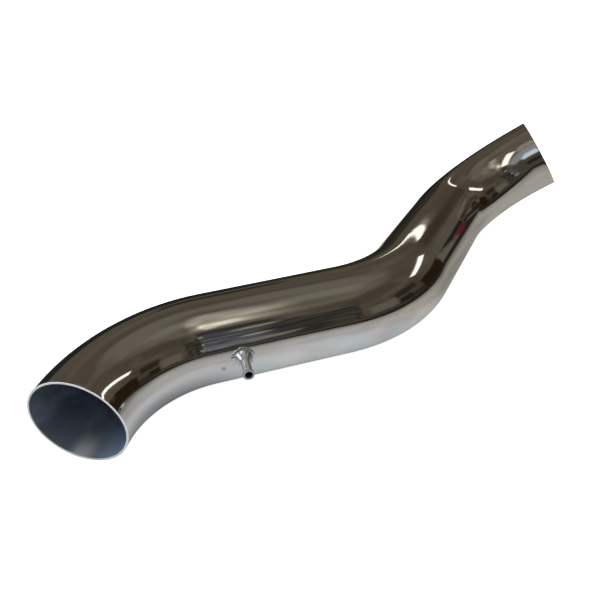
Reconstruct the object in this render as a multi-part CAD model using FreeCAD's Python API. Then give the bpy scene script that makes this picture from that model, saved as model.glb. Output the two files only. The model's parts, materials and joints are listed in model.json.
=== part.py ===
import FreeCAD, Part
import math
import os

# Air intake tube: one thin-walled metal tube with three bends, a small hose nipple
# welded to its side, and the rippled weld bead around the foot of the nipple.
# All sizes are in millimetres and all angles in degrees.
# The tube rests on the plane z = 0. Its first two bends lie flat on that plane and
# the third one lifts the outlet end. The middle straight runs along +X.

# Driving dimensions of the tube
tubeOuterDiameter = 76.2
tubeWall = 1.65
bendRadius = 108.0
inletLeg = 8.0
inletBendAngle = 63.5
middleLeg = 118.0
returnBendAngle = 47.0
outletRun = 122.0
outletBendAngle = 72.0
outletRiseAngle = 33.0
outletLeg = 14.0
rimBevel = 0.3

# Driving dimensions of the nipple
nippleFromBend = 24.5
nippleTilt = 3.0
nippleReach = 23.5
stemDiameter = 8.0
boreDiameter = 5.8
lipDiameter = 9.3
lipLength = 2.6
lipRamp = 0.6
footDiameter = 14.6
footRim = 0.9
footSweep = 12.0
tipBevel = 0.3
sweepSteps = 5
spigotClearance = 0.1

# Driving dimensions of the weld bead
weldRipples = 16
weldWidth = 2.8
weldHeight = 1.6
weldValley = 0.72
weldTuck = 1.2
weldSink = 0.6

# Sizes that follow from the ones above
tubeRadius = tubeOuterDiameter / 2
innerRadius = tubeRadius - tubeWall
stemRadius = stemDiameter / 2
boreRadius = boreDiameter / 2
lipRadius = lipDiameter / 2
footRadius = footDiameter / 2
spigotHoleRadius = stemRadius + spigotClearance
tipHeight = tubeRadius + nippleReach

# The bend table: a length for each straight, an angle and a turn of the bending
# plane for each bend.
bendTable = [
    {"length": inletLeg},
    {"angle": inletBendAngle, "planeTurn": 0},
    {"length": middleLeg},
    {"angle": returnBendAngle, "planeTurn": 180},
    {"length": outletRun},
    {"angle": outletBendAngle, "planeTurn": 180 - outletRiseAngle},
    {"length": outletLeg},
]
middleIndex = 2


def turned(vector, axis, degrees):
    # A vector turned about an axis through the origin.
    return FreeCAD.Rotation(axis, degrees).multVec(vector)


def tubeStations():
    # Walks the bend table from the inlet face to the outlet face. The heading at the
    # inlet is chosen so that the middle straight comes out along +X.
    up = FreeCAD.Vector(0, 0, 1)
    heading = turned(FreeCAD.Vector(1, 0, 0), up, inletBendAngle)
    inward = heading.cross(up)
    point = FreeCAD.Vector(0, 0, tubeRadius)
    stations = []
    for move in bendTable:
        station = dict(move, point=point, heading=heading)
        if "length" in move:
            point = point + heading * move["length"]
        else:
            inward = turned(inward, heading, move["planeTurn"])
            station["centre"] = point + inward * bendRadius
            station["axis"] = heading.cross(inward)
            arm = turned(point - station["centre"], station["axis"], move["angle"])
            heading = turned(heading, station["axis"], move["angle"])
            inward = turned(inward, station["axis"], move["angle"])
            point = station["centre"] + arm
        stations.append(station)
    stations.append({"point": point, "heading": heading})
    return stations


def ringFace(centre, normal):
    # The tube's cut section: a flat ring between the bore and the outside.
    outer = Part.Wire(Part.makeCircle(tubeRadius, centre, normal))
    inner = Part.Wire(Part.makeCircle(innerRadius, centre, normal))
    return Part.Face([outer, inner])


def profilePoint(radius, height):
    return FreeCAD.Vector(radius, 0, height)


def turnedSolid(outline):
    # A closed outline of (radius, height) points turned once around the local Z axis.
    points = [profilePoint(radius, height) for radius, height in outline]
    face = Part.Face(Part.makePolygon(points + points[:1]))
    return face.revolve(FreeCAD.Vector(0, 0, 0), FreeCAD.Vector(0, 0, 1), 360)


def cutEndLeg(length, rim, inward):
    # A straight end of the tube. Both edges of its cut face are lightly bevelled. The
    # face lies at the rim and the leg runs inward.
    outline = [
        (tubeRadius, length),
        (tubeRadius, rimBevel),
        (tubeRadius - rimBevel, 0),
        (innerRadius + rimBevel, 0),
        (innerRadius, rimBevel),
        (innerRadius, length),
    ]
    leg = turnedSolid(outline)
    leg.Placement = FreeCAD.Placement(rim, FreeCAD.Rotation(FreeCAD.Vector(0, 0, 1), inward))
    return leg


def sweptTube(stations):
    # Between the two cut ends every straight is an extruded ring and every bend a
    # revolved ring.
    first = stations[0]
    last = stations[-1]
    sections = [
        cutEndLeg(inletLeg, first["point"], first["heading"]),
        cutEndLeg(outletLeg, last["point"], last["heading"] * -1),
    ]
    for station in stations[1:-2]:
        ring = ringFace(station["point"], station["heading"])
        if "length" in station:
            sections.append(ring.extrude(station["heading"] * station["length"]))
        else:
            sections.append(ring.revolve(station["centre"], station["axis"], station["angle"]))
    return sections[0].multiFuse(sections[1:]).removeSplitter().Solids[0]


def nipplePlacement(stations):
    # Puts local X along the tube and local Z out along the nipple, with the local
    # origin on the axis of the middle straight.
    middle = stations[middleIndex]
    along = middle["heading"]
    origin = middle["point"] + along * nippleFromBend
    outward = turned(along.cross(FreeCAD.Vector(0, 0, 1)), along, -nippleTilt)
    across = outward.cross(along)
    return FreeCAD.Placement(origin, FreeCAD.Rotation(along, across, outward, "ZXY"))


def tubeBody(radius):
    # A round bar on local X that stands in for the tube under the nipple's foot.
    start = FreeCAD.Vector(-2 * footRadius, 0, 0)
    return Part.makeCylinder(radius, 4 * footRadius, start, FreeCAD.Vector(1, 0, 0))


def verticalBar(radius, low, high):
    return Part.makeCylinder(radius, high - low, FreeCAD.Vector(0, 0, low))


def sweepPoints():
    # The hollow curve from the rim of the foot up to the stem, in short straight steps.
    sweepAngle = math.acos(1 - (footRadius - stemRadius) / footSweep)
    sweepTop = tubeRadius + footRim + footSweep * math.sin(sweepAngle)
    points = []
    for step in range(sweepSteps + 1):
        angle = sweepAngle * (1 - step / sweepSteps)
        radius = stemRadius + footSweep * (1 - math.cos(angle))
        points.append((radius, sweepTop - footSweep * math.sin(angle)))
    return points


def lipPoints():
    # The raised lip at the tip: a short ramp up from the stem, a flat band and a
    # bevelled front edge.
    return [
        (stemRadius, tipHeight - lipLength),
        (lipRadius, tipHeight - lipLength + lipRamp),
        (lipRadius, tipHeight - tipBevel),
        (lipRadius - tipBevel, tipHeight),
    ]


def nippleOutside():
    # The turned outside of the nipple: a wide foot that sweeps in to the stem, and a
    # raised lip at the tip that keeps a hose on.
    outline = [(0, innerRadius), (footRadius, innerRadius)]
    outline += sweepPoints()
    outline += lipPoints()
    outline.append((0, tipHeight))
    return turnedSolid(outline)


def hoseNipple():
    # The foot is cut to the tube's round, so that it sits down like a saddle, and a
    # short spigot below it drops into the hole in the wall.
    saddle = nippleOutside().cut(tubeBody(tubeRadius))
    spigot = verticalBar(stemRadius, innerRadius, tubeRadius + footRim)
    bore = verticalBar(boreRadius, innerRadius - 1, tipHeight + 1)
    return saddle.fuse(spigot).cut(bore).removeSplitter()


def weldSection(angle, swell):
    # One cut across the weld bead, as points from its inner foot over its crest to its
    # outer foot. It stands on the round of the tube.
    across = math.sin(angle)
    reach = weldWidth * (0.5 + 0.5 * swell)
    crest = weldHeight * swell
    steps = [(-weldTuck, -weldSink), (-weldTuck, crest), (0.45 * reach, 0.9 * crest),
             (0.85 * reach, 0.5 * crest), (reach, -weldSink)]
    points = []
    for out, rise in steps:
        radius = footRadius + out
        height = math.sqrt(tubeRadius ** 2 - (radius * across) ** 2) + rise
        points.append(FreeCAD.Vector(radius * math.cos(angle), radius * across, height))
    return points


def weldBead():
    # A ring of weld metal along the line where the foot meets the tube. Its crest
    # swells once for each ripple.
    count = weldRipples * 2
    sections = []
    for index in range(count):
        swell = 1 if index % 2 == 0 else weldValley
        sections.append(weldSection(2 * math.pi * index / count, swell))
    faces = []
    for index in range(count):
        here = sections[index]
        after = sections[(index + 1) % count]
        for corner in range(len(here)):
            beyond = (corner + 1) % len(here)
            for triangle in ((here[corner], here[beyond], after[corner]),
                             (here[beyond], after[beyond], after[corner])):
                faces.append(Part.Face(Part.makePolygon(list(triangle) + [triangle[0]])))
    ring = Part.Solid(Part.makeShell(faces))
    if ring.Volume < 0:
        ring.reverse()
    return ring.cut(nippleOutside()).cut(tubeBody(tubeRadius))


def centredShift(shapes):
    # Moves the middle of the whole part's footprint to x = 0, y = 0.
    box = Part.makeCompound(shapes).optimalBoundingBox(False, False)
    return FreeCAD.Vector(-box.Center.x, -box.Center.y, 0)


def buildParts():
    stations = tubeStations()
    place = nipplePlacement(stations)
    spigotHole = verticalBar(spigotHoleRadius, innerRadius - 2, tubeRadius + 2)
    spigotHole.Placement = place
    tube = sweptTube(stations).cut(spigotHole)
    nipple = hoseNipple()
    nipple.Placement = place
    weld = weldBead()
    weld.Placement = place
    nodes = {"intake_tube": tube, "hose_nipple": nipple, "weld_bead": weld}
    shift = centredShift(list(nodes.values()))
    for shape in nodes.values():
        shape.translate(shift)
    return nodes


os.makedirs("parts", exist_ok=True)
for name, shape in buildParts().items():
    shape.exportStep("parts/%s.step" % name)
    box = shape.BoundBox
    print(name, shape.ShapeType, len(shape.Solids), len(shape.Faces), shape.isValid(),
          round(shape.Volume, 1), [round(v, 2) for v in (box.XLength, box.YLength, box.ZLength)])
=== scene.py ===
import json
import math
import bpy
import bmesh
from mathutils import Matrix, Vector


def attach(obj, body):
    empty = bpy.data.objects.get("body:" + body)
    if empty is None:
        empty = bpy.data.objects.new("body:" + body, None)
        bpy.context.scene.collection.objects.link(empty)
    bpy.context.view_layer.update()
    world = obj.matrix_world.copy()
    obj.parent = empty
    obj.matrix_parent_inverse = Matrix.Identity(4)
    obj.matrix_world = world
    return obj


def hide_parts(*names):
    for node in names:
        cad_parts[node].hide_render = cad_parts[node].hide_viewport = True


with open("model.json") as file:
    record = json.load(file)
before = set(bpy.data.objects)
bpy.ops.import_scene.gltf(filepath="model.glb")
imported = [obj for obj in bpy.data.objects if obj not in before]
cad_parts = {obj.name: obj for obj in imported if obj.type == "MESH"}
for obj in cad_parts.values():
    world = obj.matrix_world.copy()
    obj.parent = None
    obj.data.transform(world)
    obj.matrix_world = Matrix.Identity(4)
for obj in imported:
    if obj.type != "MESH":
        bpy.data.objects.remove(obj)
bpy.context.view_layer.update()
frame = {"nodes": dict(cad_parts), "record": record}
scene = bpy.context.scene
mounts = {mount["name"]: mount for mount in frame["record"]["mounts"]}
print("frame loaded:", sorted(frame["nodes"]))


# Small helpers for node trees

class NodeMaker:
    # Adds nodes to one tree and links them in the same call. An input is given by its
    # label, with _ for a space, or by its number as i0, i1 and so on.
    def __init__(self, tree):
        self.tree = tree

    def add(self, kind, settings=None, **inputs):
        node = self.tree.nodes.new(kind)
        for name, value in (settings or {}).items():
            setattr(node, name, value)
        for name, value in inputs.items():
            self.feed(node, name, value)
        return node

    def feed(self, node, name, value):
        numbered = name[0] == "i" and name[1:].isdigit()
        socket = node.inputs[int(name[1:]) if numbered else name.replace("_", " ")]
        if isinstance(value, bpy.types.NodeSocket):
            self.tree.links.new(value, socket)
        elif isinstance(value, bpy.types.Node):
            self.tree.links.new(value.outputs[0], socket)
        elif socket.type == "RGBA":
            socket.default_value = (*value, 1.0)
        else:
            socket.default_value = value

    def math(self, operation, first, second=None):
        node = self.add("ShaderNodeMath", {"operation": operation}, i0=first)
        if second is not None:
            self.feed(node, "i1", second)
        return node.outputs[0]

    def times(self, first, *others):
        for other in others:
            first = self.math("MULTIPLY", first, other)
        return first

    def vector(self, operation, first, second=None, scale=None):
        node = self.add("ShaderNodeVectorMath", {"operation": operation}, i0=first)
        if second is not None:
            self.feed(node, "i1", second)
        if scale is not None:
            self.feed(node, "Scale", scale)
        single = operation in ("DOT_PRODUCT", "LENGTH", "DISTANCE")
        return node.outputs["Value" if single else "Vector"]

    def smooth(self, value, low, high, toLow=0.0, toHigh=1.0):
        node = self.add("ShaderNodeMapRange", {"interpolation_type": "SMOOTHSTEP"}, Value=value)
        for name, amount in (("From Min", low), ("From Max", high), ("To Min", toLow), ("To Max", toHigh)):
            self.feed(node, name, amount)
        return node.outputs["Result"]

    def mixColour(self, factor, first, second, blend="MIX"):
        settings = {"data_type": "RGBA", "blend_type": blend, "clamp_factor": True}
        return self.add("ShaderNodeMix", settings, i0=factor, i6=first, i7=second).outputs[2]

    def mixValue(self, factor, first, second):
        return self.add("ShaderNodeMix", {"data_type": "FLOAT"}, i0=factor, i2=first, i3=second).outputs[0]

    def noise(self, place, scale, detail, roughness, distortion=0.0):
        return self.add(
            "ShaderNodeTexNoise", Vector=place, Scale=scale, Detail=detail,
            Roughness=roughness, Distortion=distortion,
        ).outputs

    def split(self, vector):
        return self.add("ShaderNodeSeparateXYZ", Vector=vector).outputs

    def objectPlace(self):
        return self.add("ShaderNodeTexCoord").outputs["Object"]

    def stored(self, name):
        return self.add("ShaderNodeAttribute", {"attribute_name": name}).outputs["Vector"]


def newGroup(name, kind, inputs, outputs):
    group = bpy.data.node_groups.new(name, kind)
    for label, socketType, value in inputs:
        socket = group.interface.new_socket(label, in_out="INPUT", socket_type=socketType)
        if value is not None:
            socket.default_value = value
    for label, socketType in outputs:
        group.interface.new_socket(label, in_out="OUTPUT", socket_type=socketType)
    maker = NodeMaker(group)
    return group, maker, maker.add("NodeGroupInput"), maker.add("NodeGroupOutput")


def newMaterial(name):
    material = bpy.data.materials.new(name)
    material.use_nodes = True
    material.node_tree.nodes.clear()
    return material, NodeMaker(material.node_tree)


def addObject(name, data):
    made = bpy.data.objects.new(name, data)
    scene.collection.objects.link(made)
    return made


def turnTo(right, up, back):
    # A turn whose own X, Y and Z point the three ways given.
    return Matrix((right, up, back)).transposed().to_4x4()


def finishMesh(worker, name):
    # Turns what the modifiers make into a plain mesh and drops the modifiers.
    bpy.context.view_layer.update()
    seen = worker.evaluated_get(bpy.context.evaluated_depsgraph_get())
    mesh = bpy.data.meshes.new_from_object(seen)
    mesh.name = name
    made = addObject(name, mesh)
    old = worker.data
    bpy.data.objects.remove(worker)
    bpy.data.meshes.remove(old)
    return made


def faceOutwards(mesh):
    work = bmesh.new()
    work.from_mesh(mesh)
    bmesh.ops.recalc_face_normals(work, faces=work.faces)
    work.to_mesh(mesh)
    work.free()


def inputRows(values):
    # One named input of the right kind for each value that the modifier will set.
    rows = []
    for label, value in values.items():
        if isinstance(value, bpy.types.Material):
            rows.append((label, "NodeSocketMaterial", None))
        else:
            rows.append((label, "NodeSocketInt" if isinstance(value, int) else "NodeSocketFloat", value))
    return rows


def modifierWith(piece, tree, values):
    modifier = piece.modifiers.new(tree.name, "NODES")
    modifier.node_group = tree
    for item in tree.interface.items_tree:
        if item.item_type == "SOCKET" and item.in_out == "INPUT" and item.name in values:
            modifier[item.identifier] = values[item.name]


# Camera at the photograph's viewing angle

cameraPlace = {
    "location": (-0.148914, -0.441237, 0.312468),
    "right": (0.963314, -0.257832, -0.074489),
    "up": (0.201805, 0.512934, 0.834370),
    "forward": (0.176919, 0.818793, -0.546148),
    "lens": 33.3606,
    "sensor": 36.0,
    "nearest": 0.01,
    "farthest": 60.0,
}


def makeCamera(place):
    data = bpy.data.cameras.new("camera")
    data.lens = place["lens"]
    data.sensor_width = place["sensor"]
    data.clip_start = place["nearest"]
    data.clip_end = place["farthest"]
    camera = addObject("camera", data)
    turn = turnTo(place["right"], place["up"], -Vector(place["forward"]))
    camera.matrix_world = Matrix.Translation(place["location"]) @ turn
    scene.camera = camera


makeCamera(cameraPlace)
scene.view_settings.view_transform = "Standard"
scene.view_settings.look = "None"
print("camera placed")


# Shared surface effects

smudgeLook = {
    "bareFrom": 0.75,
    "coverGain": 0.4,
    "fade": 0.16,
    "thinnest": 0.45,
}

polishLook = {
    "finerScale": 3.1,
    "coarseShare": 0.65,
    "finerShare": 0.35,
}


def makeSmudges(look):
    # Soft handling marks: broad hazy patches broken up by finer ones.
    inputs = [
        ("Position", "NodeSocketVector", None),
        ("Patch Scale", "NodeSocketFloat", 14.0),
        ("Fine Scale", "NodeSocketFloat", 90.0),
        ("Cover", "NodeSocketFloat", 0.5),
    ]
    group, maker, given, result = newGroup("smudges", "ShaderNodeTree", inputs, [("Mask", "NodeSocketFloat")])
    take = given.outputs
    broad = maker.noise(take["Position"], take["Patch Scale"], 3.0, 0.55, 0.6)["Fac"]
    fine = maker.noise(take["Position"], take["Fine Scale"], 2.0, 0.6)["Fac"]
    start = maker.math("SUBTRACT", look["bareFrom"], maker.times(take["Cover"], look["coverGain"]))
    patches = maker.smooth(broad, start, maker.math("ADD", start, look["fade"]))
    broken = maker.smooth(fine, 0.3, 0.7, look["thinnest"], 1.0)
    maker.feed(result, "Mask", maker.times(patches, broken))
    return group


def makePolishLines(look):
    # Fine lines left by a buffing wheel, stretched along one direction of the space they
    # are given.
    inputs = [
        ("Position", "NodeSocketVector", None),
        ("Stretch", "NodeSocketVector", (1.0, 1.0, 1.0)),
        ("Scale", "NodeSocketFloat", 400.0),
    ]
    outputs = [("Height", "NodeSocketFloat")]
    group, maker, given, result = newGroup("polishLines", "ShaderNodeTree", inputs, outputs)
    take = given.outputs
    stretched = maker.vector("MULTIPLY", take["Position"], take["Stretch"])
    coarse = maker.noise(stretched, take["Scale"], 2.0, 0.6)["Fac"]
    finer = maker.noise(stretched, maker.times(take["Scale"], look["finerScale"]), 1.0, 0.5)["Fac"]
    height = maker.math("ADD", maker.times(coarse, look["coarseShare"]), maker.times(finer, look["finerShare"]))
    maker.feed(result, "Height", height)
    return group


smudges = makeSmudges(smudgeLook)
polishLines = makePolishLines(polishLook)


def placeGroup(maker, group, **inputs):
    node = maker.add("ShaderNodeGroup")
    node.node_tree = group
    for name, value in inputs.items():
        maker.feed(node, name, value)
    return node.outputs[0]


def finishMetal(maker, look, colour, roughness, height):
    strength, distance = look["bump"]
    bump = maker.add("ShaderNodeBump", Height=height, Strength=strength, Distance=distance)
    shader = maker.add(
        "ShaderNodeBsdfPrincipled", Metallic=look["metallic"], Base_Color=colour,
        Roughness=roughness, Normal=bump,
    )
    maker.add("ShaderNodeOutputMaterial", Surface=shader)


# A pair of numbers for a place is a fade, where it starts and where it is complete, in
# metres. The pair for roughness is for clean and marked metal, or for dark and light
# lines, and the one for bump is its strength and distance.

polishedLook = {
    "metal": (0.80, 0.785, 0.765),
    "hazed": (0.66, 0.66, 0.665),
    "marks": {"Patch_Scale": 16.0, "Fine_Scale": 110.0, "Cover": 0.35},
    "lines": {"Stretch": (1.0, 0.06, 0.06), "Scale": 900.0},
    "waveScale": 26.0,
    "lineHeight": 0.004,
    "spot": (-0.1403, -0.0959, 0.0334),
    "spotColour": (0.40, 0.41, 0.43),
    "spotFade": (0.0036, 0.0012),
    "spotRagged": 0.0012,
    "spotCover": 0.75,
    "roughness": (0.055, 0.16),
    "metallic": 1.0,
    "bump": (0.35, 0.0004),
}


def makePolishedTube(look):
    material, maker = newMaterial("polishedTube")
    space = maker.stored("tubeSpace")
    marks = placeGroup(maker, smudges, Position=space, **look["marks"])
    lines = placeGroup(maker, polishLines, Position=space, **look["lines"])
    waves = maker.noise(space, look["waveScale"], 2.0, 0.5)["Fac"]
    haze = maker.times(marks, maker.smooth(lines, 0.35, 0.6, 0.6, 1.0))
    away = maker.vector("DISTANCE", maker.objectPlace(), look["spot"])
    away = maker.math("ADD", away, maker.times(lines, look["spotRagged"]))
    spot = maker.smooth(away, *look["spotFade"])
    colour = maker.mixColour(haze, look["metal"], look["hazed"])
    colour = maker.mixColour(maker.times(spot, look["spotCover"]), colour, look["spotColour"])
    roughness = maker.mixValue(maker.math("MAXIMUM", haze, spot), *look["roughness"])
    height = maker.math("ADD", waves, maker.times(lines, look["lineHeight"]))
    finishMetal(maker, look, colour, roughness, height)
    return material


insideLook = {
    "dark": (0.26, 0.30, 0.355),
    "light": (0.44, 0.50, 0.58),
    "marks": {"Patch_Scale": 22.0, "Fine_Scale": 140.0, "Cover": 0.6},
    "lines": {"Stretch": (0.12, 1.0, 1.0), "Scale": 260.0},
    "marksShare": 0.4,
    # Painted light: a bluish cast low on one side towards the mouth, and a pale lit patch low inside the mouth.
    "paintedBlueLight": (0.52, 0.68, 0.94),
    "paintedBlueDepth": (0.10, -0.004),
    "paintedBlueSide": (-0.012, 0.022),
    "paintedBlueRise": (0.042, 0.006),
    "lit": (0.95, 0.97, 0.98),
    "litDepth": (0.022, 0.0),
    "litMiddle": -0.009,
    "litSide": (0.012, 0.002),
    "litRise": (-0.026, -0.035),
    "litCover": 0.8,
    "roughness": (0.36, 0.52),
    "metallic": 0.7,
    "bump": (0.25, 0.0002),
}


def makeInsideTube(look):
    material, maker = newMaterial("insideTube")
    space = maker.stored("tubeSpace")
    lines = placeGroup(maker, polishLines, Position=space, **look["lines"])
    marks = placeGroup(maker, smudges, Position=space, **look["marks"])
    streak = maker.mixValue(look["marksShare"], lines, marks)
    colour = maker.mixColour(maker.smooth(streak, 0.2, 0.8), look["dark"], look["light"])

    # Depth, side and rise are counted from the inlet's mount, in metres.
    inlet = mounts["inlet_end"]
    outward = Vector(inlet["axis"])
    offset = maker.vector("SUBTRACT", maker.objectPlace(), Vector(inlet["pos_m"]))
    side = maker.vector("DOT_PRODUCT", offset, outward.cross(Vector((0, 0, -1))))
    deep = maker.vector("DOT_PRODUCT", offset, -outward)
    rise = maker.split(offset)["Z"]
    # Painted light: a bluish cast low on one side near the mouth, then a pale lit patch low inside the mouth.
    paintedBlueLight = maker.times(
        maker.smooth(deep, *look["paintedBlueDepth"]),
        maker.smooth(side, *look["paintedBlueSide"]),
        maker.smooth(rise, *look["paintedBlueRise"]),
    )
    offMiddle = maker.math("ABSOLUTE", maker.math("SUBTRACT", side, look["litMiddle"]))
    lit = maker.times(
        maker.smooth(deep, *look["litDepth"]),
        maker.smooth(offMiddle, *look["litSide"]),
        maker.smooth(rise, *look["litRise"]),
        look["litCover"],
    )
    colour = maker.mixColour(paintedBlueLight, colour, look["paintedBlueLight"])
    colour = maker.mixColour(lit, colour, look["lit"])
    roughness = maker.smooth(lines, 0.3, 0.7, *look["roughness"])
    finishMetal(maker, look, colour, roughness, lines)
    return material


rimLook = {
    "dull": (0.88, 0.90, 0.95),
    "bright": (0.95, 0.97, 1.0),
    "lines": {"Stretch": (1.0, 1.0, 1.0), "Scale": 1500.0},
    "roughness": (0.32, 0.5),
    "metallic": 0.1,
    "bump": (0.3, 0.0001),
}


def makeCutRim(look):
    material, maker = newMaterial("cutRim")
    lines = placeGroup(maker, polishLines, Position=maker.objectPlace(), **look["lines"])
    colour = maker.mixColour(maker.smooth(lines, 0.35, 0.65), look["dull"], look["bright"])
    roughness = maker.smooth(lines, 0.3, 0.7, *look["roughness"])
    finishMetal(maker, look, colour, roughness, lines)
    return material


turnedLook = {
    "clean": (0.84, 0.865, 0.90),
    "handled": (0.62, 0.635, 0.66),
    "marks": {"Patch_Scale": 120.0, "Fine_Scale": 600.0, "Cover": 0.6},
    "lines": {"Stretch": (0.05, 0.05, 1.0), "Scale": 1900.0},
    # Painted shade: the nipple's flank towards +X is darkened.
    "shadedSide": (0.40, 0.41, 0.39),
    "shadedSideFade": (0.0008, 0.0026),
    "sawnTip": (0.46, 0.52, 0.56),
    "belowTip": (0.0005, 0.0001),
    # Painted shade: the walls of the bore are darkened.
    "bore": (0.10, 0.12, 0.13),
    "outsideBore": (0.0002, 0.0),
    "roughness": (0.13, 0.22),
    "metallic": 0.8,
    "bump": (0.10, 0.00005),
}


def makeTurnedMetal(look, tip, bore):
    material, maker = newMaterial("turnedNipple")
    space = maker.stored("nippleSpace")
    lines = placeGroup(maker, polishLines, Position=space, **look["lines"])
    marks = placeGroup(maker, smudges, Position=space, **look["marks"])
    parts = maker.split(space)
    fromAxis = maker.vector("LENGTH", maker.vector("MULTIPLY", space, (1.0, 1.0, 0.0)))
    # Painted shade on the flank towards +X.
    shadedSide = maker.smooth(parts["X"], *look["shadedSideFade"])
    sawnTip = maker.smooth(parts["Z"], *(tip - below for below in look["belowTip"]))
    # Painted shade inside the bore.
    boreShade = maker.smooth(fromAxis, *(bore + outside for outside in look["outsideBore"]))
    colour = maker.mixColour(marks, look["clean"], look["handled"])
    colour = maker.mixColour(shadedSide, colour, look["shadedSide"])
    colour = maker.mixColour(sawnTip, colour, look["sawnTip"])
    colour = maker.mixColour(boreShade, colour, look["bore"])
    roughness = maker.mixValue(marks, *look["roughness"])
    finishMetal(maker, look, colour, roughness, lines)
    return material


weldLook = {
    "clean": (0.86, 0.865, 0.87),
    "sooty": (0.44, 0.44, 0.45),
    "marks": {"Patch_Scale": 160.0, "Fine_Scale": 900.0, "Cover": 0.7},
    "lines": {"Stretch": (1.0, 1.0, 1.0), "Scale": 1200.0},
    "roughness": (0.22, 0.34),
    "metallic": 0.95,
    "bump": (0.15, 0.0001),
}


def makeWeldMetal(look):
    material, maker = newMaterial("weldMetal")
    place = maker.objectPlace()
    lines = placeGroup(maker, polishLines, Position=place, **look["lines"])
    marks = placeGroup(maker, smudges, Position=place, **look["marks"])
    colour = maker.mixColour(marks, look["clean"], look["sooty"])
    roughness = maker.mixValue(marks, *look["roughness"])
    finishMetal(maker, look, colour, roughness, lines)
    return material


# The tube: a bend table walked into a centreline, and a wall section carried along it.

tubeShape = {
    "outerRadius": mounts["inlet_end"]["dims"]["r_mm"] / 1000,
    "wall": 0.00165,
    "bendRadius": 0.108,
    "moves": [
        ("leg", 0.008),
        ("bend", 63.5, 0),
        ("leg", 0.118),
        ("bend", 47.0, 180),
        ("leg", 0.122),
        ("bend", 72.0, 147),
        ("leg", 0.014),
    ],
    "rimBevel": 0.0003,
    "rimRound": 0.0004,
    "rimSteps": 5,
    "skinSlack": 0.000005,
    "pathStep": 0.002,
    "ringStep": 0.0026,
    "around": 144,
}

nippleShape = {
    "axisToSeat": 0.052,
    "reach": 0.0235,
    "stemRadius": 0.004,
    "boreRadius": 0.0029,
    "lipRadius": 0.00465,
    "lipLength": 0.0026,
    "lipRamp": 0.0006,
    "rampRun": 1.2,
    "footRadius": 0.0073,
    "footRim": 0.0009,
    "footSweep": 0.012,
    "underFoot": (0.0064, 0.0052),
    "edgeRound": 0.0003,
    "sharpFrom": 32,
    "holeRadius": 0.0041,
    "holeAround": 48,
    "around": 96,
}

polishedTube = makePolishedTube(polishedLook)
insideTube = makeInsideTube(insideLook)
cutRim = makeCutRim(rimLook)
nippleTip = tubeShape["outerRadius"] + nippleShape["reach"]
turnedNipple = makeTurnedMetal(turnedLook, nippleTip, nippleShape["boreRadius"])
weldMetal = makeWeldMetal(weldLook)
print("materials made")


def turned(vector, axis, degrees):
    return Matrix.Rotation(math.radians(degrees), 3, axis) @ vector


def walkMoves(shape):
    # Points along the centreline, from the inlet face to the outlet face.
    inlet = mounts["inlet_end"]
    heading = -Vector(inlet["axis"]).normalized()
    firstLeg = shape["moves"][0][1]
    start = Vector(inlet["pos_m"]) - heading * (firstLeg + shape["rimBevel"]) / 2
    inward = heading.cross(Vector((0, 0, 1)))
    points = [start]
    for move in shape["moves"]:
        if move[0] == "leg":
            steps = max(1, round(move[1] / shape["pathStep"]))
            base = points[-1]
            points += [base + heading * move[1] * (step + 1) / steps for step in range(steps)]
            continue
        inward = turned(inward, heading, move[2])
        centre = points[-1] + inward * shape["bendRadius"]
        axis = heading.cross(inward)
        arm = points[-1] - centre
        steps = max(2, round(math.radians(move[1]) * shape["bendRadius"] / shape["pathStep"]))
        points += [centre + turned(arm, axis, move[1] * (step + 1) / steps) for step in range(steps)]
        heading = turned(heading, axis, move[1])
        inward = turned(inward, axis, move[1])
    return points


anyRadius = 0.001  # of circles whose points are all moved afterwards


def captured(maker, geometry, kind, label, value):
    # Keeps a field with the points of a curve. Its first output is the curve.
    node = maker.add("GeometryNodeCaptureAttribute", {"domain": "POINT"})
    node.capture_items.new(kind, label)
    maker.feed(node, "Geometry", geometry)
    maker.feed(node, label, value)
    return node


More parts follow.
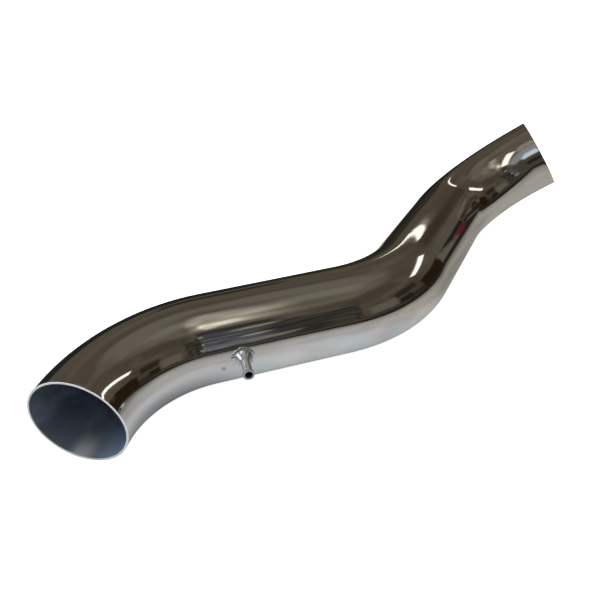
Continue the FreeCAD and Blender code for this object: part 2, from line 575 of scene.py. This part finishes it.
def makeTubeTree(values):
    # Sweeps a closed wall section, outside to rim to inside to rim, along the centreline.
    inputs = [("Centreline", "NodeSocketGeometry", None)] + inputRows(values)
    outputs = [("Tube", "NodeSocketGeometry")]
    tree, maker, given, result = newGroup("tubeSweep", "GeometryNodeTree", inputs, outputs)
    take = given.outputs
    path = maker.add("GeometryNodeMeshToCurve", Mesh=take["Centreline"]).outputs["Curve"]
    length = maker.add("GeometryNodeCurveLength", Curve=path).outputs["Length"]
    middleRadius = maker.math("SUBTRACT", take["Outer Radius"], maker.times(take["Wall"], 0.5))

    # The section lies flat in X (station along the tube) and Y (distance from its centreline).
    section = maker.add("GeometryNodeCurvePrimitiveQuadrilateral", Width=length, Height=take["Wall"])
    place = maker.add("ShaderNodeCombineXYZ", X=maker.times(length, 0.5), Y=middleRadius)
    section = maker.add("GeometryNodeTransform", Geometry=section, Translation=place)
    section = maker.add(
        "GeometryNodeFilletCurve", {"mode": "POLY"}, Curve=section,
        Count=take["Rim Steps"], Radius=take["Rim Round"],
    )
    here = maker.add("GeometryNodeInputPosition")
    after = maker.add("GeometryNodeOffsetPointInCurve", Offset=1).outputs["Point Index"]
    fromPoint = {"data_type": "FLOAT_VECTOR", "domain": "POINT"}
    beyond = maker.add("GeometryNodeFieldAtIndex", fromPoint, Value=here, Index=after)
    gap = maker.vector("DISTANCE", beyond, here)
    cuts = maker.math("FLOOR", maker.math("DIVIDE", gap, take["Ring Step"]))
    section = maker.add("GeometryNodeSubdivideCurve", Curve=section, Cuts=cuts)
    kept = captured(maker, section, "VECTOR", "Section", here)
    ring = maker.add("GeometryNodeCurvePrimitiveCircle", Resolution=take["Around"], Radius=anyRadius)
    turn = captured(maker, ring, "FLOAT", "Turn", maker.add("GeometryNodeSplineParameter"))
    skin = maker.add("GeometryNodeCurveToMesh", Curve=kept, Profile_Curve=turn)

    # Each point goes to its station on the centreline, and out from it by its radius.
    parts = maker.split(kept.outputs["Section"])
    sample = maker.add("GeometryNodeSampleCurve", {"mode": "LENGTH", "use_all_curves": True}, Curves=path)
    maker.feed(sample, "Length", parts["X"])
    angle = maker.times(turn.outputs["Turn"], 2 * math.pi)
    side = maker.times(parts["Y"], maker.math("COSINE", angle))
    rise = maker.times(parts["Y"], maker.math("SINE", angle))
    ahead, normal = sample.outputs["Tangent"], sample.outputs["Normal"]
    across = maker.vector("CROSS_PRODUCT", ahead, normal)
    out = maker.vector(
        "ADD", maker.vector("SCALE", normal, scale=side), maker.vector("SCALE", across, scale=rise),
    )
    spot = maker.vector("ADD", sample.outputs["Position"], out)
    skin = maker.add("GeometryNodeSetPosition", Geometry=skin, Position=spot)
    straightened = maker.add("ShaderNodeCombineXYZ", X=parts["X"], Y=side, Z=rise)
    skin = maker.add(
        "GeometryNodeStoreNamedAttribute", fromPoint, Geometry=skin, Name="tubeSpace", Value=straightened,
    )
    skin = maker.add("GeometryNodeSetShadeSmooth", Geometry=skin)
    skin = maker.add("GeometryNodeRealizeInstances", Geometry=skin)

    innerRadius = maker.math("SUBTRACT", take["Outer Radius"], take["Wall"])
    outsideFrom = maker.math("SUBTRACT", take["Outer Radius"], take["Skin Slack"])
    insideTo = maker.math("ADD", innerRadius, take["Skin Slack"])
    isOutside = maker.math("GREATER_THAN", parts["Y"], outsideFrom)
    isInside = maker.math("LESS_THAN", parts["Y"], insideTo)
    skin = maker.add("GeometryNodeSetMaterial", Geometry=skin, Material=take["Rim"])
    skin = maker.add("GeometryNodeSetMaterial", Geometry=skin, Selection=isOutside, Material=take["Outside"])
    skin = maker.add("GeometryNodeSetMaterial", Geometry=skin, Selection=isInside, Material=take["Inside"])
    maker.feed(result, "Tube", skin)
    return tree


def cylinderCutter(place, radius, low, high, around):
    work = bmesh.new()
    bmesh.ops.create_cone(
        work, cap_ends=True, segments=around, radius1=radius, radius2=radius, depth=high - low,
    )
    bmesh.ops.translate(work, verts=work.verts, vec=(0, 0, (low + high) / 2))
    mesh = bpy.data.meshes.new("nippleHole")
    work.to_mesh(mesh)
    work.free()
    mesh.transform(place)
    return addObject("nippleHole", mesh)


def nipplePlace(shape):
    # Local X runs along the tube and local Z out along the nipple, from the tube's centreline.
    seat = mounts["nipple_hose_seat"]
    outward = Vector(seat["axis"]).normalized()
    along = Vector((1, 0, 0))
    origin = Vector(seat["pos_m"]) - outward * shape["axisToSeat"]
    return Matrix.Translation(origin) @ turnTo(along, outward.cross(along), outward)


nippleFrame = nipplePlace(nippleShape)


def makeTube(shape, hole):
    points = walkMoves(shape)
    mesh = bpy.data.meshes.new("centreline")
    mesh.from_pydata([tuple(point) for point in points], [(i, i + 1) for i in range(len(points) - 1)], [])
    values = {
        "Outer Radius": shape["outerRadius"],
        "Wall": shape["wall"],
        "Rim Round": shape["rimRound"],
        "Rim Steps": shape["rimSteps"],
        "Ring Step": shape["ringStep"],
        "Skin Slack": shape["skinSlack"],
        "Around": shape["around"],
        "Outside": polishedTube,
        "Inside": insideTube,
        "Rim": cutRim,
    }
    worker = addObject("tubeWorker", mesh)
    modifierWith(worker, makeTubeTree(values), values)
    tube = finishMesh(worker, "intakeTube")
    faceOutwards(tube.data)
    low = shape["outerRadius"] - 2 * shape["wall"]
    high = shape["outerRadius"] + shape["wall"]
    cutter = cylinderCutter(nippleFrame, hole["holeRadius"], low, high, hole["holeAround"])
    drill = tube.modifiers.new("nippleHole", "BOOLEAN")
    drill.object = cutter
    drill.solver = "EXACT"
    drilled = finishMesh(tube, "intakeTube")
    bpy.data.objects.remove(cutter)
    return drilled


tube = makeTube(tubeShape, nippleShape)
tube.name = "intakeTube"
print("tube made:", len(tube.data.polygons), "faces", [m.name for m in tube.data.materials])


# The hose nipple, turned about its own axis, with its foot cut to the round of the tube.

def between(low, high, share):
    return low + (high - low) * share


def nippleRings(shape, tubeRadius, innerRadius):
    # (radius, height, follows the tube's round) from the bore's lower end, up, over and down again.
    bore, stem, lip, foot = (shape[name + "Radius"] for name in ("bore", "stem", "lip", "foot"))
    edge, ramp, sweep = shape["edgeRound"], shape["lipRamp"], shape["footSweep"]
    tip = tubeRadius + shape["reach"]
    band = tip - edge
    rings = [(bore, between(innerRadius, band, step / 6), False) for step in range(7)]
    for angle in (math.pi / 6, math.pi / 3, math.pi / 2):
        rings.append((bore + edge * (1 - math.cos(angle)), band + edge * math.sin(angle), False))
    for angle in (0, math.pi / 6, math.pi / 3, math.pi / 2):
        rings.append((lip - edge * (1 - math.sin(angle)), band + edge * math.cos(angle), False))
    lipFoot = tip - shape["lipLength"]
    rings += [(lip, between(lipFoot + ramp, band, step / 4), False) for step in (3, 2, 1)]
    for step in range(9):
        ease = 0.5 - 0.5 * math.cos(math.pi * step / 8)
        rings.append((between(lip, stem, ease), lipFoot + ramp * (1 - shape["rampRun"] * step / 8), False))
    stemTop = lipFoot + ramp * (1 - shape["rampRun"])
    sweepAngle = math.acos(1 - (foot - stem) / sweep)
    sweepTop = tubeRadius + shape["footRim"] + sweep * math.sin(sweepAngle)
    rings += [(stem, between(stemTop, sweepTop, step / 10), False) for step in range(1, 10)]
    for step in range(23):
        angle = sweepAngle * step / 22
        rings.append((stem + sweep * (1 - math.cos(angle)), sweepTop - sweep * math.sin(angle), False))
    rings += [(radius, 0.0, True) for radius in (foot, *shape["underFoot"], stem)]
    rings.append((stem, innerRadius, False))
    return rings


def makeNipple(shape, tubeRadius, innerRadius):
    rings = nippleRings(shape, tubeRadius, innerRadius)
    count = shape["around"]
    points = []
    for radius, height, saddled in rings:
        for step in range(count):
            angle = 2 * math.pi * step / count
            x = radius * math.cos(angle)
            y = radius * math.sin(angle)
            points.append((x, y, math.sqrt(tubeRadius ** 2 - y * y) if saddled else height))
    faces = []
    for ring in range(len(rings)):
        beyond = (ring + 1) % len(rings)
        for step in range(count):
            side = (step + 1) % count
            here, there = ring * count, beyond * count
            faces.append((here + step, there + step, there + side, here + side))
    mesh = bpy.data.meshes.new("hoseNipple")
    mesh.from_pydata(points, [], faces)
    space = mesh.attributes.new("nippleSpace", "FLOAT_VECTOR", "POINT")
    space.data.foreach_set("vector", [value for point in points for value in point])
    mesh.transform(nippleFrame)
    faceOutwards(mesh)
    mesh.shade_smooth()
    mesh.materials.append(turnedNipple)
    nipple = addObject("hoseNipple", mesh)
    sharpenEdges(mesh, shape["sharpFrom"])
    return nipple


def sharpenEdges(mesh, degrees):
    work = bmesh.new()
    work.from_mesh(mesh)
    for edge in work.edges:
        if len(edge.link_faces) == 2 and edge.calc_face_angle() > math.radians(degrees):
            edge.smooth = False
    work.to_mesh(mesh)
    work.free()


nipple = makeNipple(nippleShape, tubeShape["outerRadius"], tubeShape["outerRadius"] - tubeShape["wall"])
print("nipple made:", len(nipple.data.polygons), "faces")


# The weld: a ring of overlapping ripples along the line where the foot meets the tube.

weldShape = {
    "ripples": 16,
    "stepsPerRipple": 14,
    "sectionSteps": 28,
    "ringRadius": 0.0077,
    "reach": 0.0021,
    "rise": 0.0013,
    "sink": 0.0006,
    "valley": 0.80,
    "bow": 0.30,
    "onset": 0.8,
    "fullness": 0.75,
    "weight": 0.9,
    "lean": 0.15,
    "leastLuck": 0.86,
    "mostLuck": 1.06,
    "seed": 7,
}


def makeWeldTree(values):
    tree, maker, given, result = newGroup(
        "weldRipples", "GeometryNodeTree", inputRows(values), [("Weld", "NodeSocketGeometry")],
    )
    take = given.outputs
    resolution = maker.times(take["Ripples"], take["Steps Per Ripple"])
    ring = maker.add("GeometryNodeCurvePrimitiveCircle", Resolution=resolution, Radius=8 * anyRadius)
    profile = maker.add("GeometryNodeCurvePrimitiveCircle", Resolution=take["Section Steps"], Radius=anyRadius)
    factor = maker.add("GeometryNodeSplineParameter")
    around = captured(maker, ring, "FLOAT", "Turn", factor)
    across = captured(maker, profile, "FLOAT", "Turn", factor)
    skin = maker.add("GeometryNodeCurveToMesh", Curve=around, Profile_Curve=across)

    # Each ripple is a crescent: it starts steeply, swells and runs out under the next one.
    psi = maker.times(across.outputs["Turn"], 2 * math.pi)
    offMiddle = maker.math("SINE", maker.math("SUBTRACT", psi, math.pi / 4))
    lag = maker.times(offMiddle, offMiddle, take["Bow"])
    travel = maker.math("ADD", maker.times(around.outputs["Turn"], take["Ripples"]), lag)
    phase = maker.math("POWER", maker.math("FRACT", travel), take["Onset"])
    number = maker.math("MODULO", maker.math("FLOOR", travel), take["Ripples"])
    hump = maker.math("POWER", maker.math("SINE", maker.times(phase, math.pi)), take["Fullness"])
    luck = maker.add(
        "FunctionNodeRandomValue", {"data_type": "FLOAT"}, Min=take["Least Luck"], Max=take["Most Luck"],
        ID=number, Seed=take["Seed"],
    ).outputs[1]
    phi = maker.times(around.outputs["Turn"], 2 * math.pi)
    heavier = maker.math("SUBTRACT", take["Weight"], maker.times(maker.math("COSINE", phi), take["Lean"]))
    swell = maker.times(maker.mixValue(hump, take["Valley"], 1.0), luck, heavier)
    out = maker.times(maker.math("COSINE", psi), take["Reach"], swell)
    above = maker.math("MAXIMUM", maker.math("SINE", psi), 0.0)
    below = maker.math("MINIMUM", maker.math("SINE", psi), 0.0)
    rise = maker.math("ADD", maker.times(above, take["Rise"], swell), maker.times(below, take["Sink"]))

    # The ring stands on the round of the tube.
    radius = maker.math("ADD", take["Ring Radius"], out)
    x = maker.times(radius, maker.math("COSINE", phi))
    y = maker.times(radius, maker.math("SINE", phi))
    tubeSquare = maker.times(take["Tube Radius"], take["Tube Radius"])
    ground = maker.math("SQRT", maker.math("SUBTRACT", tubeSquare, maker.times(y, y)))
    spot = maker.add("ShaderNodeCombineXYZ", X=x, Y=y, Z=maker.math("ADD", ground, rise))
    skin = maker.add("GeometryNodeSetPosition", Geometry=skin, Position=spot)
    skin = maker.add("GeometryNodeSetShadeSmooth", Geometry=skin)
    skin = maker.add("GeometryNodeRealizeInstances", Geometry=skin)
    skin = maker.add("GeometryNodeSetMaterial", Geometry=skin, Material=take["Metal"])
    maker.feed(result, "Weld", skin)
    return tree


def makeWeld(shape, tubeRadius):
    values = {"Tube Radius": tubeRadius, "Metal": weldMetal}
    for name, value in shape.items():
        label = "".join(" " + letter if letter.isupper() else letter for letter in name).title()
        values[label] = value  # stepsPerRipple is the input Steps Per Ripple
    worker = addObject("weldWorker", bpy.data.meshes.new("weldWorker"))
    modifierWith(worker, makeWeldTree(values), values)
    weld = finishMesh(worker, "weldBead")
    weld.data.transform(nippleFrame)
    faceOutwards(weld.data)
    return weld


weld = makeWeld(weldShape, tubeShape["outerRadius"])
weld.name = "weldBead"
print("weld made:", len(weld.data.polygons), "faces")

for piece, node, slotName in (
    (tube, "intake_tube", "polished_tube"),
    (nipple, "hose_nipple", "turned_nipple"),
    (weld, "weld_bead", "weld_metal"),
):
    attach(piece, "root")
    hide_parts(node)
print("pieces ride on the frame")


# Room: a white floor, soft light and the dim room that the polished metal mirrors.

def direction(azimuth, elevation):
    # Azimuth from +Y towards +X, elevation up from the horizon, in degrees.
    a = math.radians(azimuth)
    e = math.radians(elevation)
    return Vector((math.sin(a) * math.cos(e), math.cos(a) * math.cos(e), math.sin(e)))


def makeRoomPatch():
    # A soft-edged rectangle far away in one direction.
    inputs = [
        ("Direction", "NodeSocketVector", None),
        ("Centre", "NodeSocketVector", None),
        ("Right", "NodeSocketVector", None),
        ("Up", "NodeSocketVector", None),
        ("Half Width", "NodeSocketFloat", 0.1),
        ("Half Height", "NodeSocketFloat", 0.1),
        ("Edge", "NodeSocketFloat", 0.05),
    ]
    group, maker, given, result = newGroup("roomPatch", "ShaderNodeTree", inputs, [("Mask", "NodeSocketFloat")])
    take = given.outputs
    ahead = maker.vector("DOT_PRODUCT", take["Direction"], take["Centre"])
    nearest = 0.05  # what lies further round than this is left unpainted
    mask = maker.math("GREATER_THAN", ahead, nearest)
    safe = maker.math("MAXIMUM", ahead, nearest)
    for axis, half in (("Right", "Half Width"), ("Up", "Half Height")):
        offset = maker.math("DIVIDE", maker.vector("DOT_PRODUCT", take["Direction"], take[axis]), safe)
        beyond = maker.math("SUBTRACT", maker.math("ABSOLUTE", offset), take[half])
        mask = maker.times(mask, maker.smooth(maker.math("DIVIDE", beyond, take["Edge"]), -1.0, 1.0, 1.0, 0.0))
    maker.feed(result, "Mask", mask)
    return group


# Colours are what the metal shows of them. The pairs with From in their names are
# elevations in degrees.
roomLook = {
    "horizon": (0.026, 0.020, 0.015),
    "wallLow": (0.070, 0.058, 0.040),
    "wallLowFrom": (-4, 9),
    "wallHigh": (0.090, 0.075, 0.056),
    "wallHighFrom": (15, 40),
    "ceiling": (0.116, 0.101, 0.078),
    "ceilingBack": (0.112, 0.095, 0.075),
    "ceilingFrom": (50, 58),
    "backAcross": (0.1, -0.15),
    "backAlong": (-0.1, 0.15),
    "ragged": 0.07,
    "raggedScale": 7.0,
    "unevenScale": 2.4,
    "unevenDark": (0.78, 0.77, 0.78),
    "unevenLight": (1.24, 1.23, 1.21),
    "clutter": (0.090, 0.077, 0.054),
    "clutterDark": (0.015, 0.012, 0.009),
    "clutterLight": (0.15, 0.13, 0.09),
    "clutterScale": 3.6,
    "mottle": (0.62, 1.42),
    "mottleScale": 14.0,
    "mottleFrom": (52, 42),
    "mottleAlong": (-0.5, -0.8),
    "mottleLeft": (-0.12, 0.0),
    "mottleRight": (0.40, 0.32),
    "plain": (0.02, 0.02, 0.02),
}

# Azimuth, elevation, half width, half height, edge and tilt in degrees, then the colour,
# which is none for clutter, and whether noise breaks up the outline.
roomShapes = [
    (135, 46, 20, 9, 5, 0, (0.066, 0.055, 0.040), True),
    (14, 53, 14, 5.5, 4, 0, (0.078, 0.066, 0.050), True),
    (42, 68, 18, 8, 4, 0, (0.142, 0.125, 0.099), True),
    (107, 76, 8, 8, 4, 0, (0.178, 0.163, 0.128), True),
    (56, 14, 9, 6, 4, 0, (0.085, 0.075, 0.052), True),
    (66, 19, 9, 6, 3, 0, (0.098, 0.085, 0.066), True),
    (49, 29, 7, 3.5, 3, 0, (0.044, 0.036, 0.025), True),
    (116, 14, 15, 16, 4, 0, (0.066, 0.051, 0.037), True),
    (141, 12, 11, 8.5, 3, 0, (0.122, 0.108, 0.084), True),
    (110, 3, 10, 4.5, 1.5, 0, (0.030, 0.024, 0.016), True),
    (119, 21, 9.5, 5, 1.5, 0, (0.026, 0.021, 0.014), True),
    (123, 6, 5.5, 5.5, 1.0, 0, (0.018, 0.016, 0.009), True),
    (91, 6, 13, 12, 1.5, 0, (0.020, 0.011, 0.005), True),
    (74.9, 4.5, 2.5, 9, 0.6, 0, (0.125, 0.112, 0.090), False),
    (69.8, 4, 2.6, 8.5, 0.5, 0, (0.014, 0.013, 0.014), False),
    (-10, 14, 26, 12, 5, 0, None, True),
    (-12, -4, 20, 14, 4, 0, (0.016, 0.018, 0.023), True),
    (16, 2, 9, 9, 3, 0, (0.032, 0.027, 0.020), True),
    (-166, 12, 26, 24, 3, 0, (0.066, 0.058, 0.046), True),
    (-172, 12, 14, 20, 3, 0, (0.062, 0.056, 0.046), True),
    (-154, 11, 5, 5, 1.5, 0, (0.020, 0.018, 0.014), True),
    (166, 18, 8, 21, 2.0, 0, (0.040, 0.037, 0.030), True),
    (176, 25, 5.5, 28, 2.0, 0, (0.034, 0.033, 0.034), True),
    (177.5, 30, 4, 15, 1.2, 0, (0.080, 0.082, 0.090), True),
    (177, 10, 3, 6, 1.0, 0, (0.120, 0.128, 0.140), True),
]

roomLights = [
    (174.5, 23, 1.3, 1.1, 0.6, 0, (0.42, 0.40, 0.35), False),
    (173, 9, 2.0, 3.0, 0.8, 0, (0.19, 0.17, 0.14), True),
    (173, 41, 2.0, 1.6, 0.9, 0, (0.30, 0.29, 0.13), False),
    (173, 68, 4.5, 9, 4, 0, (0.36, 0.33, 0.26), True),
    (160, 87, 4, 9, 4, 0, (0.36, 0.335, 0.275), True),
    (157, 77, 2.6, 4, 3, 0, (0.46, 0.42, 0.34), True),
    (176, 66, 2.0, 4.2, 2.4, 0, (0.95, 0.90, 0.73), True),
    (-143, 45, 17, 9, 4, 0, (0.26, 0.26, 0.27), True),
    (-139, 32, 8, 5, 3.5, 0, (0.62, 0.71, 0.82), True),
    (-108, 56, 8, 5, 4, 0, (0.27, 0.23, 0.20), True),
    (-150, 64.5, 15, 5.4, 2.0, 25, (1.35, 1.31, 1.15), False),
    (-82, 20, 30, 26, 10, 0, (1.25, 1.33, 1.42), False),
]


def makeRoom(look, shapes, lights):
    world = bpy.data.worlds.new("room")
    scene.world = world
    world.use_nodes = True
    world.node_tree.nodes.clear()
    maker = NodeMaker(world.node_tree)
    toward = maker.add("ShaderNodeTexCoord").outputs["Generated"]
    rough = maker.vector("SUBTRACT", maker.noise(toward, look["raggedScale"], 2.0, 0.55)["Color"], (0.5, 0.5, 0.5))
    ragged = maker.vector("ADD", toward, maker.vector("SCALE", rough, scale=look["ragged"]))
    parts = maker.split(ragged)

    def risen(name):
        return maker.smooth(parts["Z"], *(math.sin(math.radians(degrees)) for degrees in look[name]))

    # Walls and ceiling, with a broad unevenness
    back = maker.times(maker.smooth(parts["X"], *look["backAcross"]), maker.smooth(parts["Y"], *look["backAlong"]))
    ceiling = maker.mixColour(back, look["ceiling"], look["ceilingBack"])
    colour = maker.mixColour(risen("wallLowFrom"), look["horizon"], look["wallLow"])
    colour = maker.mixColour(risen("wallHighFrom"), colour, look["wallHigh"])
    colour = maker.mixColour(risen("ceilingFrom"), colour, ceiling)
    broad = maker.noise(toward, look["unevenScale"], 2.0, 0.5)["Fac"]
    uneven = maker.mixColour(maker.smooth(broad, 0.3, 0.7), look["unevenDark"], look["unevenLight"])
    colour = maker.mixColour(1.0, colour, uneven, "MULTIPLY")

    speck = maker.noise(toward, look["clutterScale"], 0.8, 0.5, 0.3)["Fac"]
    clutter = maker.mixColour(maker.smooth(speck, 0.54, 0.61), look["clutter"], look["clutterDark"])
    clutter = maker.mixColour(maker.smooth(speck, 0.38, 0.30), clutter, look["clutterLight"])
    patch = makeRoomPatch()

    def paint(under, rows):
        for azimuth, elevation, *spans, tilt, light, broken in rows:
            centre = direction(azimuth, elevation)
            right = turned(centre.cross(Vector((0, 0, 1))).normalized(), centre, -tilt)
            halfWidth, halfHeight, edge = (math.tan(math.radians(span)) for span in spans)
            mask = placeGroup(
                maker, patch, Direction=ragged if broken else toward, Centre=centre, Right=right,
                Up=right.cross(centre).normalized(), Half_Width=halfWidth, Half_Height=halfHeight, Edge=edge,
            )
            under = maker.mixColour(mask, under, light or clutter)
        return under

    colour = paint(colour, shapes)
    mottle = maker.smooth(maker.noise(toward, look["mottleScale"], 2.0, 0.5)["Fac"], 0.35, 0.65, *look["mottle"])
    facing = maker.times(
        risen("mottleFrom"),
        maker.smooth(parts["Y"], *look["mottleAlong"]),
        maker.smooth(parts["X"], *look["mottleLeft"]),
        maker.smooth(parts["X"], *look["mottleRight"]),
    )
    colour = maker.mixColour(facing, colour, maker.vector("SCALE", colour, scale=mottle))
    colour = paint(colour, lights)

    # The metal mirrors the painted room, the camera sees white behind the floor.
    mirrored, plain, backdrop = (
        maker.add("ShaderNodeBackground", Color=light) for light in (colour, look["plain"], (1.0, 1.0, 1.0))
    )
    path = maker.add("ShaderNodeLightPath").outputs
    unseen = maker.add("ShaderNodeMixShader", i0=path["Is Glossy Ray"], i1=plain, i2=mirrored)
    mixed = maker.add("ShaderNodeMixShader", i0=path["Is Camera Ray"], i1=unseen, i2=backdrop)
    maker.add("ShaderNodeOutputWorld", Surface=mixed)


makeRoom(roomLook, roomShapes, roomLights)

# Reach is how far from the metal the table is met. The other pairs of numbers are fades
# along X or Y.
floorLook = {
    "halfSize": 12.0,
    "paleness": 0.93,
    "grain": 0.03,
    "glow": 0.93,
    "waveScale": 5.0,
    "shake": 0.16,
    "near": (0.745, 0.785, 0.815),
    "middle": (0.445, 0.44, 0.43),
    "middleReach": (0.005, 0.095),
    "far": (0.138, 0.130, 0.105),
    "farReach": (0.07, 0.42),
    # Painted shade under the first bend, where the tube touches the table and in a spot by the last bend.
    "underBend": (-0.09, -0.19),
    "underBendReach": (0.065, 0.015),
    "underBendShade": 0.6,
    "touchReach": (0.005, 0.024),
    "touchShade": 0.55,
    "shadeSpot": (0.150, 0.005, 0.0),
    "shadeReach": (0.03, 0.12),
    "shadeTone": 0.66,
    "warmth": (0.96, 0.93, 0.84),
    "warmFrom": (0.03, 0.12),
    "cool": (0.93, 0.97, 0.985),
    "rosy": (1.07, 1.035, 1.05),
    "cloudScale": 16.0,
    "mirroredTwice": 0.3,
    "twiceFrom": (0.0, 0.06),
    "beyond": (0.021, 0.019, 0.017),
    "beyondFront": (0.085, 0.080, 0.062),
    "beyondFade": (-0.9, -1.3),
    "left": -0.95,
    "right": 0.54,
    "front": -0.48,
    "frontSlant": 0.90,
    "behind": 0.20,
    "slant": 0.37,
    "edge": 0.012,
    "steady": 0.5,
}


def tableMask(maker, look, parts, shake):
    # 1 on the table and 0 beyond its edges. The front and the back edge run aslant.
    edge = look["edge"]
    back = maker.math("SUBTRACT", parts["Y"], maker.times(parts["X"], look["slant"]))
    front = maker.math("SUBTRACT", parts["Y"], maker.times(parts["X"], look["frontSlant"]))
    table = maker.smooth(parts["X"], look["left"] - edge, look["left"] + edge)
    for value, limit, sign in ((parts["X"], "right", -1), (front, "front", 1), (back, "behind", -1)):
        moved = maker.math("ADD", value, shake)
        table = maker.times(table, maker.smooth(moved, look[limit] - sign * edge, look[limit] + sign * edge))
    return table


def makeFloor(look):
    # To the camera it is a bright white floor. In the metal it shows as a pale table that
    # ends behind the tube.
    material, maker = newMaterial("paleFloor")
    black = (0.0, 0.0, 0.0)
    place = maker.objectPlace()
    parts = maker.split(place)
    path = maker.add("ShaderNodeLightPath").outputs
    reach = path["Ray Length"]
    wave = maker.noise(place, look["waveScale"], 3.0, 0.6)["Fac"]
    shake = maker.times(maker.math("SUBTRACT", wave, 0.5), look["shake"])

    # The table darkens away from the metal, with painted shade under the first bend, where the two touch and in a
    # spot by the last bend.
    distance = maker.math("ADD", reach, shake)
    tone = maker.mixColour(maker.smooth(distance, *look["middleReach"]), look["near"], look["middle"])
    tone = maker.mixColour(maker.smooth(distance, *look["farReach"]), tone, look["far"])
    underBend = maker.times(
        maker.smooth(parts["X"], *look["underBend"]),
        maker.smooth(reach, *look["underBendReach"], 0.0, look["underBendShade"]),
    )
    fromSpot = maker.vector("DISTANCE", place, look["shadeSpot"])
    spread = maker.times(
        maker.math("SUBTRACT", 1.0, underBend),
        maker.smooth(reach, *look["touchReach"], look["touchShade"], 1.0),
        maker.smooth(fromSpot, *look["shadeReach"], look["shadeTone"], 1.0),
    )
    tone = maker.vector("SCALE", tone, scale=spread)

    # Hues, the second mirroring and what lies beyond the table
    warmed = maker.vector("MULTIPLY", tone, look["warmth"])
    tone = maker.mixColour(maker.smooth(parts["X"], *look["warmFrom"]), tone, warmed)
    cloud = maker.noise(place, look["cloudScale"], 2.0, 0.5)["Fac"]
    hue = maker.mixColour(maker.smooth(cloud, 0.36, 0.64), look["cool"], look["rosy"])
    tone = maker.vector("MULTIPLY", tone, hue)
    twice = maker.math("GREATER_THAN", path["Ray Depth"], 1.5)
    twice = maker.times(twice, maker.smooth(parts["X"], *look["twiceFrom"]))
    tone = maker.mixColour(twice, tone, maker.mixColour(look["mirroredTwice"], black, tone))
    beyond = maker.mixColour(maker.smooth(parts["Y"], *look["beyondFade"]), look["beyond"], look["beyondFront"])
    tone = maker.mixColour(tableMask(maker, look, parts, shake), beyond, tone)

    # Part of the mirrored tone is lit by the lamps and the steady part glows by itself.
    grain = maker.mixColour(wave, (look["paleness"],) * 3, (look["paleness"] + look["grain"],) * 3)
    lit = maker.mixColour(1.0 - look["steady"], black, tone)
    held = maker.mixColour(look["steady"], black, tone)
    matte = maker.add("ShaderNodeBsdfDiffuse", Color=maker.mixColour(path["Is Glossy Ray"], grain, lit))
    white = maker.mixColour(path["Is Camera Ray"], black, (look["glow"],) * 3)
    light = maker.add(
        "ShaderNodeEmission", Color=maker.mixColour(path["Is Glossy Ray"], white, held), Strength=1.0,
    )
    maker.add("ShaderNodeOutputMaterial", Surface=maker.add("ShaderNodeAddShader", i0=matte, i1=light))
    half = look["halfSize"]
    mesh = bpy.data.meshes.new("floor")
    mesh.from_pydata([(-half, -half, 0), (half, -half, 0), (half, half, 0), (-half, half, 0)], [], [(0, 1, 2, 3)])
    mesh.materials.append(material)
    floor = addObject("floor", mesh)


makeFloor(floorLook)

# A soft lamp overhead lights the floor and stays out of the metal. The strip lamps are
# what the metal mirrors as highlights.
lampLook = {
    "soft": ("softTop", (0.0, 0.0, 2.6), 5.0, 147.0),  # name, place, size, power
    "strips": [
        ("stripRight", (2.02, 0.14), 0.50, 1.26),  # name, x and y, width, length
        ("stripFarRight", (1.31, 2.40), 0.20, 1.48),
    ],
    "stripHeight": 1.47,
    "stripHeading": 164.3,
    "stripBrightness": 1.5,
    "stripColour": (1.0, 0.965, 0.87),
    "stripFade": (0.34, 0.05),
    "redPlace": (0.364, 0.083, 0.077),
    "redHeading": -109.0,
    "redSize": (0.026, 0.042),
    "redBrightness": 0.078,
    "redColour": (1.0, 0.03, 0.08),
}


def softenEdges(data, amount):
    # The lamp fades towards its edges.
    data.use_nodes = True
    tree = data.node_tree
    tree.nodes.clear()
    maker = NodeMaker(tree)
    spread = maker.split(maker.add("ShaderNodeNewGeometry").outputs["Parametric"])
    mask = 1.0
    for name, fade in zip("XY", amount):
        offset = maker.math("ABSOLUTE", maker.math("SUBTRACT", spread[name], 0.5))
        mask = maker.times(mask, maker.smooth(offset, 0.5, 0.5 - fade))
    light = maker.add("ShaderNodeEmission", Color=(1.0, 1.0, 1.0), Strength=mask)
    maker.add("ShaderNodeOutputLight", Surface=light)


def addLamp(name, location, turn, size, brightness, colour):
    data = bpy.data.lights.new(name, "AREA")
    data.shape = "RECTANGLE"
    data.size, data.size_y = size
    data.color = colour
    data.energy = brightness * math.pi * size[0] * size[1]
    lamp = addObject(name, data)
    lamp.matrix_world = Matrix.Translation(location) @ turn
    lamp.visible_camera = False
    return lamp


def makeLamps(look):
    up = Vector((0, 0, 1))
    name, location, size, power = look["soft"]
    brightness = power / (math.pi * size * size)
    soft = addLamp(name, location, Matrix.Identity(4), (size, size), brightness, (1.0, 1.0, 1.0))
    soft.visible_glossy = False
    heading = direction(look["stripHeading"], 0)
    turn = turnTo(heading.cross(up), heading, up)
    for name, spot, width, length in look["strips"]:
        place = (*spot, look["stripHeight"])
        strip = addLamp(name, place, turn, (width, length), look["stripBrightness"], look["stripColour"])
        softenEdges(strip.data, look["stripFade"])
    facing = direction(look["redHeading"], 0)
    turn = turnTo(facing.cross(up), up, -facing)
    red = addLamp("redGlow", look["redPlace"], turn, look["redSize"], look["redBrightness"], look["redColour"])
    red.visible_diffuse = False


makeLamps(lampLook)
print("room made")
